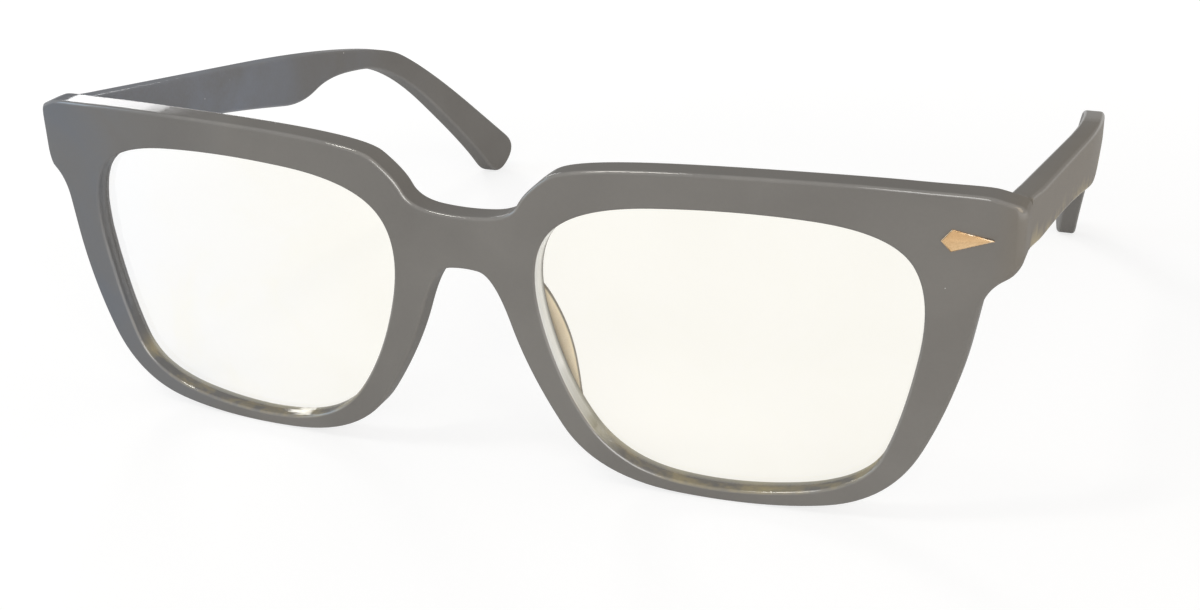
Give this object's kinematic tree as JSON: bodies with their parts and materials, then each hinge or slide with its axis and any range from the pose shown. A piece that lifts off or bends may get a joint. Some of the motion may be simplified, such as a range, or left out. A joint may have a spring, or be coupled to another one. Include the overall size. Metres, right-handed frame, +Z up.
{
  "type": "reading glasses",
  "caption": "Full-rim reading glasses with a thick dark-grey plastic front, clear lenses, bonded nose pads and folding temples.",
  "frame": {"origin": "middle of the bounding box, on the surface that the rims and the temple tips rest on", "axes": "+X to the right as seen from in front, front faces -Y, temples run to +Y, +Z up off the table"},
  "size_m": [0.1462, 0.152, 0.0463],
  "materials": {
    "acetate": "polished solid warm-grey acetate",
    "lens": "clear, faintly warm",
    "pad": "smooth translucent beige",
    "steel": "satin nickel silver",
    "gold": "polished pale gold plate"
  },
  "bodies": {
    "frame_front": {"front": "acetate", "lens_left": "lens", "lens_right": "lens", "nose_pad_left": "pad", "nose_pad_right": "pad", "front_hinge_leaf_left": "steel", "front_hinge_leaf_right": "steel", "hinge_screw_left": "steel", "hinge_screw_right": "steel", "arrowhead_rivet": "gold"},
    "temple_arm_left": {"temple_left": "acetate", "temple_hinge_leaf_left": "steel", "core_strip_left": "steel"},
    "temple_arm_right": {"temple_right": "acetate", "temple_hinge_leaf_right": "steel", "core_strip_right": "steel"}
  },
  "joints": [
    {"name": "fold_right", "type": "hinge", "parent": "frame_front", "child": "temple_arm_right", "pos_m": [0.06625, -0.06434, 0.04042], "axis": [0, -0.0912, 0.9958], "range_deg": [0, 88]},
    {"name": "fold_left", "type": "hinge", "parent": "frame_front", "child": "temple_arm_left", "pos_m": [-0.06625, -0.06434, 0.04042], "axis": [0, -0.0912, 0.9958], "range_deg": [-78, 0]}
  ]
}
